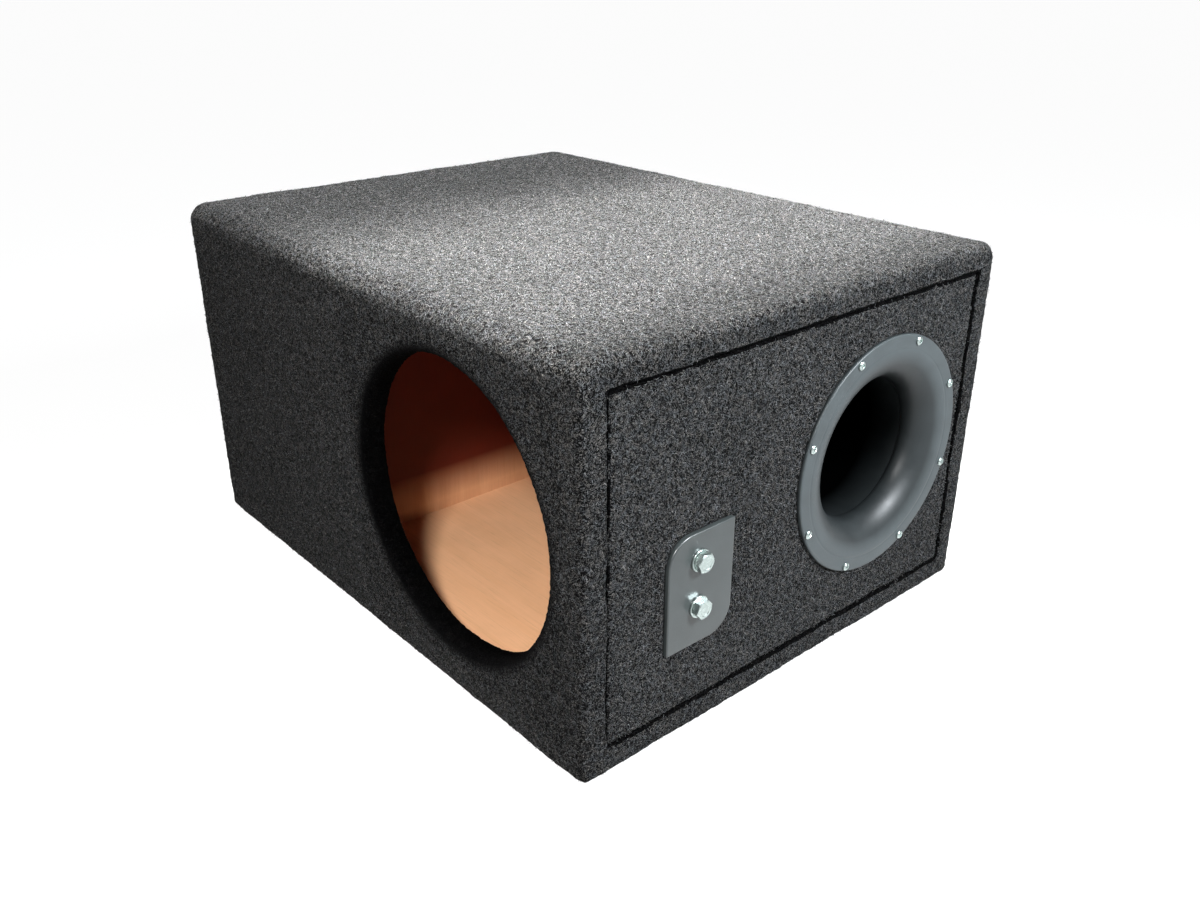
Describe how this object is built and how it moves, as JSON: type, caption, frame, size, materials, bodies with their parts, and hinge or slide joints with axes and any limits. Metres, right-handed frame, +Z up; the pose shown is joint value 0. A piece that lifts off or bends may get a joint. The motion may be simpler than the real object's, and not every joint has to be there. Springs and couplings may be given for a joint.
{
  "type": "ported car subwoofer enclosure",
  "caption": "Empty carpeted subwoofer box with a round driver cut-out, a flared port and two clamp-bolt terminals on one end.",
  "frame": {"origin": "middle of the underside of the box, on the surface that it stands on", "axes": "+Z up; -Y out of the face with the driver cut-out; +X out of the end with the port and the terminals"},
  "size_m": [0.6624, 0.516, 0.362],
  "materials": {
    "wood": "raw",
    "carpet": "non-woven charcoal carpet",
    "port_plastic": "satin",
    "plate_plastic": "satin",
    "zinc": "bright zinc",
    "screw_steel": "yellow zinc"
  },
  "bodies": {
    "enclosure": {"top_panel": "wood", "bottom_panel": "wood", "driver_baffle": "wood", "back_panel": "wood", "port_end_panel": "wood", "plain_end_panel": "wood", "divider_panel": "wood", "wrap_carpet": "carpet", "bottom_carpet": "carpet", "port_end_carpet": "carpet", "plain_end_carpet": "carpet", "port_outer_bell": "port_plastic", "port_tube": "port_plastic", "port_inner_bell": "port_plastic", "terminal_plate": "plate_plastic", "terminal_tee_nuts": "zinc", "port_screws": "zinc", "front_screws": "screw_steel", "back_screws": "screw_steel", "top_screws": "screw_steel", "bottom_screws": "screw_steel"},
    "lower_washer": {"terminal_washer_lower": "zinc"},
    "lower_bolt": {"terminal_bolt_lower": "zinc"},
    "upper_washer": {"terminal_washer_upper": "zinc"},
    "upper_bolt": {"terminal_bolt_upper": "zinc"}
  },
  "joints": [
    {"name": "lower_bolt_travel", "type": "slide", "parent": "enclosure", "child": "lower_washer", "axis": [1, 0, 0], "range_m": [0, 0.009]},
    {"name": "lower_bolt_turn", "type": "hinge", "parent": "lower_washer", "child": "lower_bolt", "pos_m": [0.3295, -0.1348, 0.1227], "axis": [1, 0, 0], "range_deg": [0, 2160]},
    {"name": "upper_bolt_travel", "type": "slide", "parent": "enclosure", "child": "upper_washer", "axis": [1, 0, 0], "range_m": [0, 0.009]},
    {"name": "upper_bolt_turn", "type": "hinge", "parent": "upper_washer", "child": "upper_bolt", "pos_m": [0.3295, -0.1348, 0.1663], "axis": [1, 0, 0], "range_deg": [0, 2160]}
  ],
  "couplings": [
    {"joint": "lower_bolt_turn", "follows": "lower_bolt_travel", "rad_per_m": 4188.8},
    {"joint": "upper_bolt_turn", "follows": "upper_bolt_travel", "rad_per_m": 4188.8}
  ]
}
